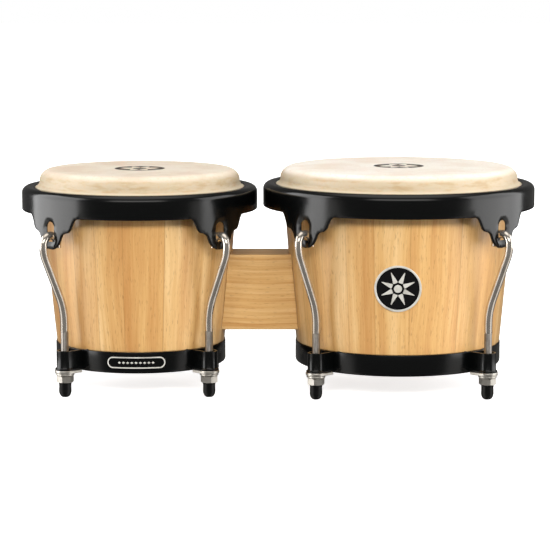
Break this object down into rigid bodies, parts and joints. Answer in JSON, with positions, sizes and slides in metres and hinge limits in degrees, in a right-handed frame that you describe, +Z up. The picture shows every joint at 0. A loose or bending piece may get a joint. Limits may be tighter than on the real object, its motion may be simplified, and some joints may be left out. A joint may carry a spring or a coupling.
{
  "type": "bongo drums",
  "caption": "Pair of tunable wooden bongo drums of two sizes, joined by a centre block, with rawhide heads, steel rims, hook tuning rods, bottom rings and rubber feet.",
  "frame": {"origin": "on the surface that the feet stand on, midway between the outer edges of the two rims", "axes": "+X from the small drum to the large one, +Y to the back, +Z up along the drums' axes"},
  "size_m": [0.446, 0.2362, 0.1928],
  "materials": {
    "shell_wood": "clear lacquered pale hardwood staves, satin gloss",
    "block_wood": "clear lacquered pale hardwood, satin",
    "rawhide": "natural rawhide, cream, matt",
    "black_enamel": "black powder coat, semi-gloss",
    "chrome": "bright chrome plate",
    "steel": "plain zinc-plated steel",
    "rubber": "black moulded rubber, satin",
    "badge": "black enamelled plate with raised bright ring"
  },
  "bodies": {
    "shells": {"macho_shell": "shell_wood", "macho_bottom_ring": "black_enamel", "macho_head": "rawhide", "macho_block_bolt_bottom": "steel", "macho_block_bolt_top": "steel", "macho_bolt_washer_bottom": "steel", "macho_bolt_washer_top": "steel", "macho_lug_plate_fl": "chrome", "macho_lug_plate_fr": "chrome", "macho_lug_plate_bl": "chrome", "macho_lug_plate_br": "chrome", "macho_washer_fl": "chrome", "macho_washer_fr": "chrome", "macho_washer_bl": "chrome", "macho_washer_br": "chrome", "hembra_shell": "shell_wood", "hembra_bottom_ring": "black_enamel", "hembra_head": "rawhide", "hembra_block_bolt_bottom": "steel", "hembra_block_bolt_top": "steel", "hembra_bolt_washer_bottom": "steel", "hembra_bolt_washer_top": "steel", "hembra_lug_plate_fl": "chrome", "hembra_lug_plate_fr": "chrome", "hembra_lug_plate_bl": "chrome", "hembra_lug_plate_br": "chrome", "hembra_washer_fl": "chrome", "hembra_washer_fr": "chrome", "hembra_washer_bl": "chrome", "hembra_washer_br": "chrome", "center_block": "block_wood", "hembra_badge": "badge"},
    "macho_rim": {"macho_rim": "black_enamel", "macho_flesh_hoop": "steel", "macho_hook_fl": "chrome", "macho_hook_fr": "chrome", "macho_hook_bl": "chrome", "macho_hook_br": "chrome", "macho_foot_fl": "rubber", "macho_foot_fr": "rubber", "macho_foot_bl": "rubber", "macho_foot_br": "rubber"},
    "hembra_rim": {"hembra_rim": "black_enamel", "hembra_flesh_hoop": "steel", "hembra_hook_fl": "chrome", "hembra_hook_fr": "chrome", "hembra_hook_bl": "chrome", "hembra_hook_br": "chrome", "hembra_foot_fl": "rubber", "hembra_foot_fr": "rubber", "hembra_foot_bl": "rubber", "hembra_foot_br": "rubber"},
    "macho_nut_fl": {"macho_nut_fl": "chrome"},
    "macho_nut_fr": {"macho_nut_fr": "chrome"},
    "macho_nut_bl": {"macho_nut_bl": "chrome"},
    "macho_nut_br": {"macho_nut_br": "chrome"},
    "hembra_nut_fl": {"hembra_nut_fl": "chrome"},
    "hembra_nut_fr": {"hembra_nut_fr": "chrome"},
    "hembra_nut_bl": {"hembra_nut_bl": "chrome"},
    "hembra_nut_br": {"hembra_nut_br": "chrome"}
  },
  "joints": [
    {"name": "macho_tighten", "type": "slide", "parent": "shells", "child": "macho_rim", "axis": [0, 0, -1], "range_m": [0, 0.005], "deforming": ["macho_head"]},
    {"name": "hembra_tighten", "type": "slide", "parent": "shells", "child": "hembra_rim", "axis": [0, 0, -1], "range_m": [0, 0.005], "deforming": ["hembra_head"]},
    {"name": "macho_nut_fl_turn", "type": "hinge", "parent": "shells", "child": "macho_nut_fl", "pos_m": [-0.18212, -0.06152, 0.01575], "axis": [0, 0, 1], "range_deg": [0, 1800]},
    {"name": "macho_nut_fr_turn", "type": "hinge", "parent": "shells", "child": "macho_nut_fr", "pos_m": [-0.05908, -0.06152, 0.01575], "axis": [0, 0, 1], "range_deg": [0, 1800]},
    {"name": "macho_nut_bl_turn", "type": "hinge", "parent": "shells", "child": "macho_nut_bl", "pos_m": [-0.18212, 0.06152, 0.01575], "axis": [0, 0, 1], "range_deg": [0, 1800]},
    {"name": "macho_nut_br_turn", "type": "hinge", "parent": "shells", "child": "macho_nut_br", "pos_m": [-0.05908, 0.06152, 0.01575], "axis": [0, 0, 1], "range_deg": [0, 1800]},
    {"name": "hembra_nut_fl_turn", "type": "hinge", "parent": "shells", "child": "hembra_nut_fl", "pos_m": [0.03207, -0.07283, 0.01575], "axis": [0, 0, 1], "range_deg": [0, 1800]},
    {"name": "hembra_nut_fr_turn", "type": "hinge", "parent": "shells", "child": "hembra_nut_fr", "pos_m": [0.17773, -0.07283, 0.01575], "axis": [0, 0, 1], "range_deg": [0, 1800]},
    {"name": "hembra_nut_bl_turn", "type": "hinge", "parent": "shells", "child": "hembra_nut_bl", "pos_m": [0.03207, 0.07283, 0.01575], "axis": [0, 0, 1], "range_deg": [0, 1800]},
    {"name": "hembra_nut_br_turn", "type": "hinge", "parent": "shells", "child": "hembra_nut_br", "pos_m": [0.17773, 0.07283, 0.01575], "axis": [0, 0, 1], "range_deg": [0, 1800]}
  ],
  "couplings": [
    {"joint": "macho_nut_fl_turn", "follows": "macho_tighten", "rad_per_m": 6283.2},
    {"joint": "macho_nut_fr_turn", "follows": "macho_tighten", "rad_per_m": 6283.2},
    {"joint": "macho_nut_bl_turn", "follows": "macho_tighten", "rad_per_m": 6283.2},
    {"joint": "macho_nut_br_turn", "follows": "macho_tighten", "rad_per_m": 6283.2},
    {"joint": "hembra_nut_fl_turn", "follows": "hembra_tighten", "rad_per_m": 6283.2},
    {"joint": "hembra_nut_fr_turn", "follows": "hembra_tighten", "rad_per_m": 6283.2},
    {"joint": "hembra_nut_bl_turn", "follows": "hembra_tighten", "rad_per_m": 6283.2},
    {"joint": "hembra_nut_br_turn", "follows": "hembra_tighten", "rad_per_m": 6283.2}
  ]
}
